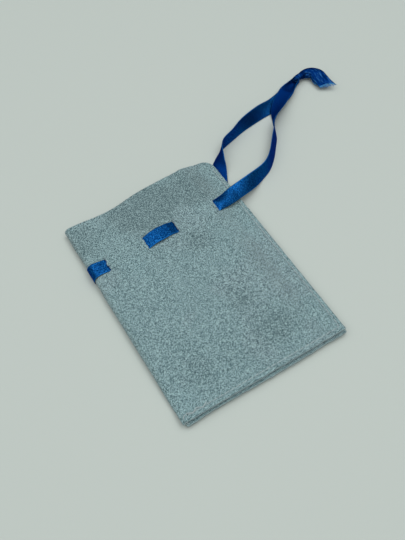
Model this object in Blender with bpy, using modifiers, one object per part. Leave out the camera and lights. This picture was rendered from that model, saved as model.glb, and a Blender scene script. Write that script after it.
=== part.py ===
"""Suede drawstring pouch, lying flat on its back panel.

One rectangle of suede is folded once along the left long side and sewn along the
bottom and the right side. A satin ribbon runs through four slits in each panel and
its two ends are tied together in an overhand knot.

World frame: +X from the fold to the sewn side, +Y from the bottom to the mouth, +Z
up from the surface that the pouch lies on. The shapes are worked out in the pouch's
own measures: "across" from the fold and "along" from the bottom edge.
"""

import math

import bmesh
import bpy
from mathutils import Vector

# Pouch, folded and flat
POUCH_WIDTH = 0.076
FOLD_SIDE_LENGTH = 0.1005
SEAM_SIDE_LENGTH = 0.1040
SUEDE_THICKNESS = 0.0012
FRONT_CORNER_RADIUS = 0.0058
BACK_CORNER_RADIUS = 0.0040
BACK_LIP_EXTRA = 0.0007
MOUTH_HOLLOW = 0.0014
MOUTH_HOLLOW_ACROSS = 0.021
MOUTH_HOLLOW_WIDTH = 0.013

# Room between the panels, and how softly it opens from each side
FOLD_GAP = 0.0022
BODY_GAP = 0.0052
FOLD_EASE = 0.024
SIDE_EASE = 0.017
BOTTOM_EASE = 0.026
MOUTH_LENGTH = 0.020
MOUTH_CLOSING = 0.30
LIP_DRAW = 0.0006
LIP_DIP = 0.0014
LIP_DIP_ACROSS = 0.021
LIP_DIP_WIDTH = 0.011

# Seam along the bottom and the right side
SIDE_MARGIN = 0.0017
BOTTOM_MARGIN = 0.0020
SEAM_MOUTH_INSET = 0.0065
SEAM_FOLD_INSET = 0.0030
SEAM_CORNER_RADIUS = 0.0015
STITCH_LENGTH = 0.0027
THREAD_DIAMETER = 0.00032
STITCH_RISE = 0.0002

# Slits: distance from the fold and distance below the mouth, cut through both panels
SLITS = ((0.0081, 0.0264), (0.0255, 0.0274), (0.0416, 0.0269), (0.0616, 0.0264))
SLIT_LENGTH = 0.0068
SLIT_OPENING = 0.0020

# Ribbon
RIBBON_WIDTH = 0.0070
RIBBON_WIDTH_IN_SLIT = 0.0059
RIBBON_THICKNESS = 0.0003
RIBBON_WIDENS_OVER = 0.012
KNOT_NECK_WIDTH = 0.0026
KNOT_LENGTH = 0.0090
KNOT_WIDTH = 0.0042
KNOT_HEIGHT = 0.0044
KNOT_TURN = math.radians(-4)
WRAP_RADIUS = 0.0017
WRAP_THICKNESS = 0.0009

# Play between touching pieces
CLEARANCE = 0.0003
GROUND_CLEARANCE = 0.0001

# How finely the curved forms are divided
PANEL_COLUMNS = 20
FOLD_SEGMENTS = 8
PANEL_ROWS = 26
CORNER_COLUMNS = 5
RIBBON_STEP = 0.0022
RIBBON_BEND = math.radians(9)
CURVE_SAMPLES = 12

# Heights that follow from the sizes above
RIBBON_SEAT = CLEARANCE + RIBBON_THICKNESS / 2
THREAD_SEAT = (CLEARANCE + THREAD_DIAMETER) / 2
RIBBON_LIFT = RIBBON_THICKNESS + CLEARANCE + GROUND_CLEARANCE
SEAM_LIFT = RIBBON_LIFT + THREAD_SEAT + THREAD_DIAMETER / 2
LIFT_EASE = 0.007

# The free ribbon legs: across, along, height, and the roll of the ribbon in degrees
FRONT_LEG = (
    (0.0687, 0.0777, 0.0064, 6),
    (0.0748, 0.0791, 0.0063, 18),
    (0.0845, 0.0814, 0.0053, 38),
    (0.0924, 0.0842, 0.0038, 60),
    (0.0984, 0.0868, 0.0037, 67),
    (0.1037, 0.0912, 0.0037, 68),
    (0.1087, 0.0968, 0.0037, 68),
    (0.1129, 0.1017, 0.0038, 71),
    (0.1160, 0.1069, 0.0038, 84),
    (0.1201, 0.1114, 0.0039, 117),
    (0.1241, 0.1156, 0.0039, 152),
    (0.1310, 0.1206, 0.0037, 176),
    (0.1384, 0.1248, 0.0034, 184),
)
BACK_LEG = (
    (0.0690, 0.0798, 0.0003, 0),
    (0.0722, 0.0850, 0.0003, 0),
    (0.0748, 0.0912, 0.0003, 0),
    (0.0780, 0.0972, 0.0009, -12),
    (0.0807, 0.1018, 0.0021, -48),
    (0.0864, 0.1079, 0.0037, -90),
    (0.0949, 0.1114, 0.0034, -110),
    (0.1032, 0.1147, 0.0029, -129),
    (0.1148, 0.1178, 0.0021, -150),
    (0.1232, 0.1195, 0.0014, -165),
    (0.1316, 0.1221, 0.0013, -172),
    (0.1376, 0.1246, 0.0014, -176),
)
KNOT_CENTRE = (0.1476, 0.1290, 0.0032)
FRONT_NECK = (0.1452, 0.1281, 0.0036, 180)
BACK_NECK = (0.1452, 0.1279, 0.0025, -180)
FRONT_TAIL = (
    (0.1504, 0.1291, 0.0040, 0),
    (0.1538, 0.1276, 0.0046, 8),
    (0.1554, 0.1250, 0.0046, 18),
    (0.1558, 0.1214, 0.0040, 20),
    (0.1558, 0.1182, 0.0034, 20),
    (0.1564, 0.1155, 0.0028, 20),
)
BACK_TAIL = (
    (0.1504, 0.1288, 0.0030, 0),
    (0.1536, 0.1270, 0.0034, 8),
    (0.1551, 0.1246, 0.0033, 18),
    (0.1554, 0.1213, 0.0027, 20),
    (0.1554, 0.1188, 0.0022, 20),
)
TAIL_SLANT = 0.0024


def ease(value):
    """A smooth step from 0 to 1 as the value goes from 0 to 1."""
    share = min(max(value, 0.0), 1.0)
    return share * share * (3 - 2 * share)


# Outline of the folded pouch


def mouth_line(across):
    """Where the mouth is cut, measured from the bottom: it slants up to the seam side."""
    slope = (SEAM_SIDE_LENGTH - FOLD_SIDE_LENGTH) / POUCH_WIDTH
    return FOLD_SIDE_LENGTH + slope * across


def mouth_along(across, corner_radius, extra):
    """The mouth's cut edge: a little hollow, with its corner at the seam side rounded."""
    into_corner = across - (POUCH_WIDTH - corner_radius)
    inside = math.sqrt(max(corner_radius**2 - max(into_corner, 0.0) ** 2, 0.0))
    from_hollow = (across - MOUTH_HOLLOW_ACROSS) / MOUTH_HOLLOW_WIDTH
    hollow = MOUTH_HOLLOW * math.exp(-(from_hollow**2))
    return mouth_line(across) + extra - hollow - (corner_radius - inside)


POUCH_LENGTH = max(
    mouth_along(POUCH_WIDTH * step / 400, BACK_CORNER_RADIUS, BACK_LIP_EXTRA)
    for step in range(401)
)


def world(across, along, height):
    """A point of the pouch's own measures, with the origin under the pouch's middle."""
    return Vector((across - POUCH_WIDTH / 2, along - POUCH_LENGTH / 2, height))


# Heights of the panels


def panel_gap(across, along):
    """The room between the inner faces of the two panels, less towards the mouth."""
    spring = SUEDE_THICKNESS / 2 + CLEARANCE
    from_seam = POUCH_WIDTH - SIDE_MARGIN - across
    from_bottom = along - BOTTOM_MARGIN
    to_mouth = ease((along - mouth_line(across) + MOUTH_LENGTH) / MOUTH_LENGTH)
    fullness = (BODY_GAP - FOLD_GAP) * (1 - MOUTH_CLOSING * to_mouth)
    body = FOLD_GAP + fullness * ease((across - spring) / FOLD_EASE)
    filled = body * ease(from_seam / SIDE_EASE) * ease(from_bottom / BOTTOM_EASE)
    dip = LIP_DIP * math.exp(-(((across - LIP_DIP_ACROSS) / LIP_DIP_WIDTH) ** 2))
    return CLEARANCE + filled - dip * to_mouth


def slit_row(across):
    """The line that the ribbon follows, read between the slits' own places."""
    places = [(at, mouth_line(at) - below) for at, below in SLITS]
    if across <= places[0][0]:
        return places[0][1]
    for (left, low), (right, high) in zip(places, places[1:]):
        if across <= right:
            return low + (high - low) * ease((across - left) / (right - left))
    return places[-1][1]


def back_lift(across, along):
    """How far the back panel stands off the ground, over the ribbon and at the seams."""
    from_row = along - slit_row(across)
    half = RIBBON_WIDTH / 2 + CLEARANCE
    below = ease((from_row + half + LIFT_EASE) / LIFT_EASE)
    above = ease((half + LIFT_EASE - from_row) / LIFT_EASE)
    leg_side = ease((across - SLITS[-1][0] + LIFT_EASE) / LIFT_EASE)
    over_ribbon = below * max(above, leg_side)
    from_side = POUCH_WIDTH - SIDE_MARGIN - across
    side = 1 - ease((from_side - THREAD_DIAMETER) / LIFT_EASE)
    bottom = 1 - ease((along - BOTTOM_MARGIN - THREAD_DIAMETER) / LIFT_EASE)
    at_seam = 1 - (1 - side) * (1 - bottom)
    return SEAM_LIFT * at_seam + RIBBON_LIFT * over_ribbon * (1 - at_seam)


def front_outer(across, along):
    """Height of the front panel's outer face."""
    return back_lift(across, along) + 2 * SUEDE_THICKNESS + panel_gap(across, along)


# Suede


def lip_draw(across):
    """How far the front panel's lip draws back where the panels stand apart."""
    return LIP_DRAW * ease(across / FOLD_EASE) * ease((POUCH_WIDTH - across) / SIDE_EASE)


def panel_shares():
    """Columns of a panel as shares of its width, closer together at the rounded corner."""
    corner = 1 - FRONT_CORNER_RADIUS / POUCH_WIDTH
    wide = [corner * step / PANEL_COLUMNS for step in range(PANEL_COLUMNS)]
    narrow = [
        corner + (1 - corner) * math.sin(math.pi / 2 * step / CORNER_COLUMNS)
        for step in range(CORNER_COLUMNS + 1)
    ]
    return wide + narrow


def body_row(share):
    """Points of the suede's middle surface at one share of the pouch's length."""
    fold_along = share * mouth_line(0)
    half_height = (panel_gap(0, fold_along) + SUEDE_THICKNESS) / 2
    spring = half_height + SUEDE_THICKNESS / 2
    front = []
    back = []
    for column in panel_shares():
        across = spring + column * (POUCH_WIDTH - spring)
        along = share * mouth_along(across, FRONT_CORNER_RADIUS, -lip_draw(across))
        height = front_outer(across, along) - SUEDE_THICKNESS / 2
        front.append(world(across, along, height))
        extra = BACK_LIP_EXTRA * ease(column / (1 - column + CLEARANCE))
        along = share * mouth_along(across, BACK_CORNER_RADIUS, extra)
        height = back_lift(across, along) + SUEDE_THICKNESS / 2
        back.append(world(across, along, height))
    top = front[0].z
    bottom = back[0].z
    fold = []
    for step in range(1, FOLD_SEGMENTS):
        turn = math.pi * step / FOLD_SEGMENTS
        across = spring - (top - bottom) / 2 * math.sin(turn)
        height = (top + bottom) / 2 + (top - bottom) / 2 * math.cos(turn)
        fold.append(world(across, fold_along, height))
    return front[::-1] + fold + back


def row_shares():
    """Rows from the bottom to the mouth, closer together over the sewn bottom edge."""
    seam = BOTTOM_MARGIN / POUCH_LENGTH
    rest = [seam + (1 - seam) * step / PANEL_ROWS for step in range(PANEL_ROWS + 1)]
    return [0.0] + rest


def grid_mesh(name, rows):
    """A mesh of quads over rows of points."""
    form = bmesh.new()
    grid = [[form.verts.new(point) for point in row] for row in rows]
    for low, high in zip(grid, grid[1:]):
        for near in range(len(low) - 1):
            form.faces.new((low[near], high[near], high[near + 1], low[near + 1]))
    mesh = bpy.data.meshes.new(name)
    form.to_mesh(mesh)
    form.free()
    return mesh


def thicken(obj, thickness):
    """A sheet of even thickness on both sides of the open surface."""
    shell = obj.modifiers.new("Thickness", "SOLIDIFY")
    shell.thickness = thickness
    shell.offset = 0
    shell.use_even_offset = True
    shell.use_quality_normals = True


def add_suede_body(parts, cutters):
    body = new_object("suede_body", grid_mesh("suede_body", map(body_row, row_shares())), parts)
    body.data.materials.append(material("suede", (0.21, 0.30, 0.32), 0.95))
    thicken(body, SUEDE_THICKNESS)
    for number, (across, below) in enumerate(SLITS, 1):
        cutter = add_slit_cutter(f"slit_{number}", across, below, cutters)
        cut = body.modifiers.new(f"Slit {number}", "BOOLEAN")
        cut.operation = "DIFFERENCE"
        cut.object = cutter
    return body


def add_slit_cutter(name, across, below, cutters):
    """A box through both panels, because each slit is cut with the pouch folded."""
    form = bmesh.new()
    bmesh.ops.create_cube(form, size=1)
    height = 2 * (SEAM_LIFT + BODY_GAP + 4 * SUEDE_THICKNESS)
    bmesh.ops.scale(form, vec=(SLIT_OPENING, SLIT_LENGTH, height), verts=form.verts)
    mesh = bpy.data.meshes.new(name)
    form.to_mesh(mesh)
    form.free()
    cutter = new_object(name, mesh, cutters)
    cutter.location = world(across, mouth_line(across) - below, 0)
    cutter.hide_render = True
    cutter.display_type = "WIRE"
    return cutter


# Ribbon


def inside_share(across):
    """1 where the ribbon runs inside the pouch, 0 where it runs outside."""
    half = SLIT_OPENING / 2 - CLEARANCE
    steps = [ease((across - at + half) / (2 * half)) for at, _ in SLITS]
    return steps[0] - steps[1] + steps[2] - steps[3]


def ribbon_half_width(across):
    """The ribbon is gathered where it goes through a slit."""
    nearest = min(abs(across - at) for at, _ in SLITS)
    share = ease(nearest / RIBBON_WIDENS_OVER)
    return (RIBBON_WIDTH_IN_SLIT + (RIBBON_WIDTH - RIBBON_WIDTH_IN_SLIT) * share) / 2


def row_station(across, on_front):
    """Centre and half-width of the ribbon where it follows a panel."""
    along = slit_row(across)
    share = inside_share(across)
    if on_front:
        outer = front_outer(across, along)
        outside = outer + RIBBON_SEAT
        inside = outer - SUEDE_THICKNESS - RIBBON_SEAT
    else:
        outer = back_lift(across, along)
        outside = outer - RIBBON_SEAT
        inside = outer + SUEDE_THICKNESS + RIBBON_SEAT
    height = outside + (inside - outside) * share
    half = Vector((0, ribbon_half_width(across), 0))
    return world(across, along, height), half


def fold_stations():
    """The ribbon round the outside of the fold, from the front to the back."""
    along = slit_row(0)
    half_height = (panel_gap(0, along) + SUEDE_THICKNESS) / 2
    spring = half_height + SUEDE_THICKNESS / 2
    reach = half_height + SUEDE_THICKNESS / 2 + RIBBON_SEAT
    middle = back_lift(spring, along) + SUEDE_THICKNESS / 2 + half_height
    half = Vector((0, ribbon_half_width(0), 0))
    stations = []
    for step in range(2 * CURVE_SAMPLES + 1):
        turn = math.pi * step / (2 * CURVE_SAMPLES)
        across = spring - reach * math.sin(turn)
        height = middle + reach * math.cos(turn)
        stations.append((world(across, along, height), half))
    return spring, stations


def smooth_path(points):
    """Points of a curve that passes smoothly through the given ones."""
    ends = [2 * points[0] - points[1], *points, 2 * points[-1] - points[-2]]
    path = []
    for before, start, end, after in zip(ends, ends[1:], ends[2:], ends[3:]):
        for step in range(CURVE_SAMPLES):
            t = step / CURVE_SAMPLES
            line = start * 2 + (end - before) * t
            bow = (before * 2 - start * 5 + end * 4 - after) * t**2
            twist = (start * 3 - before - end * 3 + after) * t**3
            path.append((line + bow + twist) / 2)
    return [*path, points[-1]]


def leg_stations(route, start_width, end_width):
    """Centres and half-widths along a free stretch that rolls about its own line."""
    path = smooth_path([Vector(point) for point in route])
    places = [world(*point[:3]) for point in path]
    total = sum((b - a).length for a, b in zip(places, places[1:]))
    gone = 0.0
    stations = []
    for number, point in enumerate(path):
        near = places[max(number - 1, 0)]
        far = places[min(number + 1, len(places) - 1)]
        run = (far - near).normalized()
        side = Vector((0, 0, 1)).cross(run).normalized()
        roll = math.radians(point[3])
        across = side * math.cos(roll) + run.cross(side) * math.sin(roll)
        gone += (places[number] - places[max(number - 1, 0)]).length
        wide = min(
            start_width + (RIBBON_WIDTH - start_width) * ease(gone / RIBBON_WIDENS_OVER),
            end_width + (RIBBON_WIDTH - end_width) * ease((total - gone) / RIBBON_WIDENS_OVER),
        )
        half = across * wide / 2
        lowest = abs(half.z) + RIBBON_THICKNESS / 2 + GROUND_CLEARANCE
        centre = places[number].copy()
        centre.z = max(centre.z, lowest)
        stations.append((centre, half))
    return stations


def row_end(on_front):
    """The last point on a panel before the ribbon leaves it, as a route point."""
    across = SLITS[-1][0] + SLIT_OPENING
    centre, _ = row_station(across, on_front)
    return (across, slit_row(across), centre.z, 0)


def thin_out(stations):
    """Keeps the stations that the ribbon's bends and length need."""
    kept = [stations[0], stations[1]]
    for number in range(2, len(stations) - 1):
        last = kept[-1][0]
        here = stations[number][0]
        ahead = stations[number + 1][0]
        if (here - last).length < RIBBON_THICKNESS:
            continue
        bend = (here - last).angle(last - kept[-2][0], 0.0)
        if bend > RIBBON_BEND or (ahead - last).length > RIBBON_STEP:
            kept.append(stations[number])
    return [*kept, stations[-1]]


def strip_object(name, stations, parts):
    """A ribbon of even thickness along the stations."""
    rows = [(centre - half, centre, centre + half) for centre, half in stations]
    strip = new_object(name, grid_mesh(name, rows), parts)
    thicken(strip, RIBBON_THICKNESS)
    return strip


def threaded_stations():
    """The ribbon from the knot through both panels and back to the knot."""
    spring, fold = fold_stations()
    first = SLITS[-1][0] + SLIT_OPENING
    count = int((first - spring) / (SLIT_OPENING / CURVE_SAMPLES))
    row = [first + (spring - first) * step / count for step in range(1, count)]
    front_row = [row_station(across, True) for across in row]
    back_row = [row_station(across, False) for across in row]
    front_leg = leg_stations(
        (row_end(True), *FRONT_LEG, FRONT_NECK), RIBBON_WIDTH_IN_SLIT, KNOT_NECK_WIDTH
    )
    back_leg = leg_stations(
        (row_end(False), *BACK_LEG, BACK_NECK), RIBBON_WIDTH_IN_SLIT, KNOT_NECK_WIDTH
    )
    return front_leg[::-1] + front_row + fold + back_row[::-1] + back_leg


def tail_stations(route):
    """A ribbon end behind the knot, cut off at a slant."""
    stations = leg_stations(route, KNOT_NECK_WIDTH, RIBBON_WIDTH)
    centre, half = stations[-1]
    slant = (centre - stations[-2][0]).normalized() * TAIL_SLANT / 2
    stations[-1] = (centre, half + slant)
    return thin_out(stations)


def add_knot(cutters):
    """The knot's core: two ribbon ends drawn together, wider in the middle."""
    form = bmesh.new()
    bmesh.ops.create_uvsphere(form, u_segments=14, v_segments=10, radius=0.5)
    bmesh.ops.scale(form, vec=(KNOT_LENGTH, KNOT_WIDTH, KNOT_HEIGHT), verts=form.verts)
    mesh = bpy.data.meshes.new("knot_core")
    form.to_mesh(mesh)
    form.free()
    core = new_object("knot_core", mesh, cutters)
    core.location = world(*KNOT_CENTRE)
    core.rotation_euler = (0, 0, KNOT_TURN)
    return core


def add_wrap(cutters):
    """The turn of ribbon that holds the knot, slanted round its core."""
    bpy.ops.mesh.primitive_torus_add(
        major_segments=16,
        minor_segments=8,
        major_radius=WRAP_RADIUS,
        minor_radius=WRAP_THICKNESS,
        location=world(*KNOT_CENTRE),
        rotation=(math.pi / 2, 0, KNOT_TURN + math.pi / 3),
    )
    wrap = bpy.context.object
    wrap.name = "knot_wrap"
    for owner in list(wrap.users_collection):
        owner.objects.unlink(wrap)
    cutters.objects.link(wrap)
    return wrap


def add_ribbon(parts, cutters):
    ribbon = strip_object("ribbon", thin_out(threaded_stations()), parts)
    ribbon.data.materials.append(material("satin", (0.005, 0.05, 0.27), 0.35))
    joined = [
        add_knot(cutters),
        add_wrap(cutters),
        strip_object("front_tail", tail_stations(FRONT_TAIL), cutters),
        strip_object("back_tail", tail_stations(BACK_TAIL), cutters),
    ]
    for piece in joined:
        piece.hide_render = True
        piece.display_type = "WIRE"
        join = ribbon.modifiers.new(piece.name, "BOOLEAN")
        join.operation = "UNION"
        join.object = piece
    return ribbon


# Seam threads


def seam_route():
    """The sewing line from the mouth down the side and along the bottom to the fold."""
    side = POUCH_WIDTH - SIDE_MARGIN
    top = mouth_line(side) - SEAM_MOUTH_INSET
    corner = SEAM_CORNER_RADIUS
    straight = top - BOTTOM_MARGIN - corner
    turned = math.pi / 2 * corner
    bottom = side - corner - SEAM_FOLD_INSET
    stitches = round((straight + turned + bottom) / STITCH_LENGTH)
    route = []
    for half_stitch in range(2 * stitches + 1):
        gone = (straight + turned + bottom) * half_stitch / (2 * stitches)
        if gone <= straight:
            place = (side, top - gone)
        elif gone <= straight + turned:
            turn = (gone - straight) / corner
            place = (
                side - corner + corner * math.cos(turn),
                BOTTOM_MARGIN + corner - corner * math.sin(turn),
            )
        else:
            place = (side - corner - (gone - straight - turned), BOTTOM_MARGIN)
        route.append((*place, half_stitch % 2))
    return route


def add_seam_thread(name, on_front, parts):
    """One of the two threads: low at each needle hole, high in the middle of a stitch."""
    curve = bpy.data.curves.new(name, "CURVE")
    curve.dimensions = "3D"
    curve.bevel_depth = THREAD_DIAMETER / 2
    curve.bevel_resolution = 1
    curve.use_fill_caps = True
    route = seam_route()
    line = curve.splines.new("POLY")
    line.points.add(len(route) - 1)
    for point, (across, along, is_high) in zip(line.points, route):
        if on_front:
            height = front_outer(across, along) + THREAD_SEAT + STITCH_RISE * is_high
        else:
            height = back_lift(across, along) - THREAD_SEAT
        point.co = (*world(across, along, height), 1)
    thread = new_object(name, curve, parts)
    thread.data.materials.append(material("thread", (0.34, 0.43, 0.44), 0.7))
    return thread


# Scene


def new_object(name, data, collection):
    obj = bpy.data.objects.new(name, data)
    collection.objects.link(obj)
    return obj


def material(name, colour, roughness):
    """One Principled material for each name."""
    found = bpy.data.materials.get(name)
    if found:
        return found
    made = bpy.data.materials.new(name)
    made.use_nodes = True
    surface = made.node_tree.nodes["Principled BSDF"]
    surface.inputs["Base Color"].default_value = (*colour, 1)
    surface.inputs["Roughness"].default_value = roughness
    surface.inputs["Metallic"].default_value = 0
    made.diffuse_color = (*colour, 1)
    return made


def new_collection(name):
    made = bpy.data.collections.new(name)
    bpy.context.scene.collection.children.link(made)
    return made


def main():
    for obj in list(bpy.data.objects):
        bpy.data.objects.remove(obj, do_unlink=True)
    parts = new_collection("suede_pouch")
    cutters = new_collection("cutters")
    add_suede_body(parts, cutters)
    add_ribbon(parts, cutters)
    add_seam_thread("needle_thread", True, parts)
    add_seam_thread("bobbin_thread", False, parts)


main()
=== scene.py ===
"""Finish of a suede drawstring pouch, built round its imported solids.

The pouch lies on its back panel. Its places are worked out in its own measures, as in
the part's source: "across" from the fold, "along" from the bottom edge, and height.
"""

import itertools
import random
from math import copysign, cos, exp, pi, radians, sin, sqrt

import bmesh
import bpy
from mathutils import Matrix, Vector, noise

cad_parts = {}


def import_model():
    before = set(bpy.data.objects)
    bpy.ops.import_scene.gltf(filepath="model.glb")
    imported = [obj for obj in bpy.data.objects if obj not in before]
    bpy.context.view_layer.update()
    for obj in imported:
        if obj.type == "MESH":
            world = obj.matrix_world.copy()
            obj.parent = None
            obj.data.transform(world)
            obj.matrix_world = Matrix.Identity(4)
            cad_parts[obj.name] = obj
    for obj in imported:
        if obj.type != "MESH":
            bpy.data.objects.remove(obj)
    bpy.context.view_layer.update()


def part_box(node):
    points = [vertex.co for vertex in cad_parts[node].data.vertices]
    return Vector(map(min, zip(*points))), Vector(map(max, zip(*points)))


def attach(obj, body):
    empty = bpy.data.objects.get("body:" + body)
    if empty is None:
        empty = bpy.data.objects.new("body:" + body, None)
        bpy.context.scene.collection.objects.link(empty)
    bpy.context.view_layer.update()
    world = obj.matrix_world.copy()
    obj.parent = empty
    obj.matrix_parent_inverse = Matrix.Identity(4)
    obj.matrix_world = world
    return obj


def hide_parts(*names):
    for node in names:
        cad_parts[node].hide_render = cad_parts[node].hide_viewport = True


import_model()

bl_info = {
    "name": "Suede pouch finish",
    "version": (1, 0, 0),
    "blender": (4, 5, 0),
    "location": "3D View > Sidebar > Pouch",
    "description": "Suede, satin ribbon and sewing thread of a drawstring pouch",
    "category": "Object",
}

# Pouch, as in the part's source
SUEDE_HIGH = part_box("suede_body")[1]
POUCH_WIDTH = 2 * SUEDE_HIGH.x
POUCH_LENGTH = 2 * SUEDE_HIGH.y
FOLD_SIDE_LENGTH = 0.1005
SEAM_SIDE_LENGTH = 0.1040
SUEDE_THICKNESS = 0.0012
FRONT_CORNER_RADIUS = 0.0058
BACK_CORNER_RADIUS = 0.0040
BACK_LIP_EXTRA = 0.0007
MOUTH_HOLLOW = 0.0014
MOUTH_HOLLOW_ACROSS = 0.021
MOUTH_HOLLOW_WIDTH = 0.013
FOLD_GAP = 0.0022
BODY_GAP = 0.0052
FOLD_EASE = 0.024
SIDE_EASE = 0.017
BOTTOM_EASE = 0.026
MOUTH_LENGTH = 0.020
MOUTH_CLOSING = 0.30
LIP_DRAW = 0.0006
LIP_DIP = 0.0014
LIP_DIP_ACROSS = 0.021
LIP_DIP_WIDTH = 0.011
CLEARANCE = 0.0003
GROUND_CLEARANCE = 0.0001

# Seam
SIDE_MARGIN = 0.0017
BOTTOM_MARGIN = 0.0020
SEAM_MOUTH_INSET = 0.0065
SEAM_FOLD_INSET = 0.0030
SEAM_CORNER_RADIUS = 0.0015
STITCH_LENGTH = 0.0027
THREAD_DIAMETER = 0.00032

# The stitches' marks in the suede: how deep or high, and how far they reach
CHANNEL_DEPTH, CHANNEL_REACH = 0.00012, 0.0007
HOLE_DEPTH, HOLE_REACH = 0.00024, 0.00055
PUFF_HEIGHT, PUFF_REACH, PUFF_BESIDE = 0.00006, 0.0006, 0.0013

# Relief of the suede: height, length and seed of each soft swell, and the nap's own
SWELLS = ((0.00045, 0.024, 1.5), (0.00016, 0.009, 4.5))
GRAIN_HEIGHT = 0.00003
GRAIN_LENGTH = 0.0016

# Slits: distance from the fold and distance below the mouth
SLITS = ((0.0081, 0.0264), (0.0255, 0.0274), (0.0416, 0.0269), (0.0616, 0.0264))
SLIT_OPENING = 0.0020
SLIT_CUT = 0.0069

# Ribbon
RIBBON_WIDTH = 0.0070
RIBBON_WIDTH_IN_SLIT = 0.0063
RIBBON_SOLID = 0.0003
RIBBON_THICKNESS = 0.00022
RIBBON_LOWEST = (RIBBON_THICKNESS + GROUND_CLEARANCE) / 2
RIBBON_WIDENS_OVER = 0.012
RIBBON_GATHERS_OVER = 0.007
KNOT_NECK_WIDTH = 0.0026
RIBBON_LIFT = RIBBON_SOLID + CLEARANCE + GROUND_CLEARANCE
SEAM_LIFT = RIBBON_LIFT + (CLEARANCE + THREAD_DIAMETER) / 2 + THREAD_DIAMETER / 2
LIFT_EASE = 0.007

# The free ribbon legs and ends: across, along, height, and roll in degrees
FRONT_LEG = (
    (0.0687, 0.0777, 0.0064, 6),
    (0.0748, 0.0791, 0.0063, 18),
    (0.0845, 0.0814, 0.0053, 38),
    (0.0924, 0.0842, 0.0038, 60),
    (0.0984, 0.0868, 0.0037, 67),
    (0.1037, 0.0912, 0.0037, 68),
    (0.1087, 0.0968, 0.0037, 68),
    (0.1129, 0.1017, 0.0038, 71),
    (0.1160, 0.1069, 0.0038, 84),
    (0.1201, 0.1114, 0.0039, 117),
    (0.1241, 0.1156, 0.0039, 152),
    (0.1310, 0.1206, 0.0037, 176),
    (0.1384, 0.1248, 0.0034, 184),
)
BACK_LEG = (
    (0.0690, 0.0798, 0.0003, 0),
    (0.0722, 0.0850, 0.0003, 0),
    (0.0748, 0.0912, 0.0003, 0),
    (0.0780, 0.0972, 0.0009, -12),
    (0.0807, 0.1018, 0.0021, -48),
    (0.0864, 0.1079, 0.0037, -90),
    (0.0949, 0.1114, 0.0034, -99),
    (0.1032, 0.1147, 0.0029, -115),
    (0.1148, 0.1178, 0.0021, -136),
    (0.1232, 0.1195, 0.0014, -157),
    (0.1316, 0.1221, 0.0013, -172),
    (0.1376, 0.1246, 0.0014, -176),
)
FRONT_NECK = (0.1452, 0.1281, 0.0036, 180)
BACK_NECK = (0.1452, 0.1279, 0.0025, -180)
FRONT_TAIL = (
    (0.1482, 0.1286, 0.0027, 0),
    (0.1504, 0.1293, 0.0026, 0),
    (0.1527, 0.1290, 0.0031, 4),
    (0.1546, 0.1273, 0.0038, 10),
    (0.1555, 0.1243, 0.0040, 16),
    (0.1556, 0.1208, 0.0036, 18),
    (0.1558, 0.1180, 0.0031, 18),
    (0.1563, 0.1158, 0.0026, 18),
)
BACK_TAIL = (
    (0.1480, 0.1284, 0.0020, 0),
    (0.1506, 0.1287, 0.0018, 0),
    (0.1542, 0.1268, 0.0025, 8),
    (0.1552, 0.1242, 0.0028, 18),
    (0.1553, 0.1210, 0.0024, 20),
    (0.1553, 0.1188, 0.0019, 20),
)
TAIL_SLANT = 0.0046
TAIL_MIDDLE = (0.1545, 0.1235, 0.0030)
KNOT_CENTRE = (0.1472, 0.12815, 0.0036)
KNOT_LENGTH = 0.0083
KNOT_WIDTH = 0.0027
KNOT_HEIGHT = 0.0028
KNOT_TURN = radians(9.5)

# The turn of ribbon round the knot, its angles in degrees
WRAP_STEPS = 72
WRAP_START, WRAP_TURN = -140, 440
WRAP_WIDTH = 0.0068
WRAP_RADIUS = 0.00057
WRAP_GROWTH = 0.00024
WRAP_TUCK = 0.00032
WRAP_TUCK_SHARE = 0.1
WRAP_CREASE = 0.00007
WRAP_PITCH = 0.0014

# Weave: the ribbon's borders, the loops along them, and how far the yarns stand out
BORDER = 0.0006
PICOT = 0.0007
YARN_RELIEF = 0.00003

# How the ribbon lies in the suede
RIBBON_PLAY = 0.00004
RIBBON_SEAT = RIBBON_THICKNESS / 2 + RIBBON_PLAY
LIP_REACH = 0.0045
LIP_OVER_CUT = 0.00022
LIP_TEAR = 0.00055
CUT_SHRINK = 0.00005
FRONT_LIP_OUT = SUEDE_THICKNESS / 2 + RIBBON_SEAT
BACK_LIP_OUT = 0.0005
LEG_START = 0.0012
RIBBON_ARCH = 0.0009

# Nap patches with painted shade and painted light: across, along, radius, and how dark
NAP_AND_PAINTED_SHADE_PATCHES = (
    (0.034, 0.092, 0.020, 2.1),
    (0.003, 0.092, 0.014, 0.7),
    (0.057, 0.091, 0.016, 1.2),
    (0.047, 0.064, 0.011, 0.6),
    (0.046, 0.032, 0.010, 0.6),
    (0.052, 0.016, 0.015, 0.5),
    (0.016, 0.015, 0.012, 0.4),
    (0.017, 0.067, 0.010, -0.5),
    (0.066, 0.059, 0.014, -0.5),
    (0.050, 0.077, 0.008, -0.3),
    (0.006, 0.006, 0.012, -0.5),
    (0.060, 0.005, 0.011, -0.4),
)

UP = Vector((0, 0, 1))

# Camera, fitted to the photograph's corners of the pouch
CAMERA_PLACE = (-0.07786, -0.11956, 0.23560)
CAMERA_FORWARD = (0.2962, 0.4399, -0.8478)
CAMERA_ROLL = radians(2.59)
CAMERA_LENS = 43.33
CAMERA_SENSOR = 36

# Light: the way toward each lamp with its two sides, and the sky
LAMP_GLOSS = 1.15
LAMP_DISTANCE = 1.1
KEY_LAMP = ((-0.20, 0.02, 0.98), (1.80, 1.9))
LEG_LAMP = ((0.40, 0.00, 0.92), (0.7, 0.7))
SKY_COLOUR = (0.96, 0.98, 1.0, 1.0)


def ease(value):
    """A smooth step from 0 to 1 as the value goes from 0 to 1."""
    share = min(max(value, 0.0), 1.0)
    return share * share * (3 - 2 * share)


# Outline and heights of the folded pouch, as in the part's source


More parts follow.
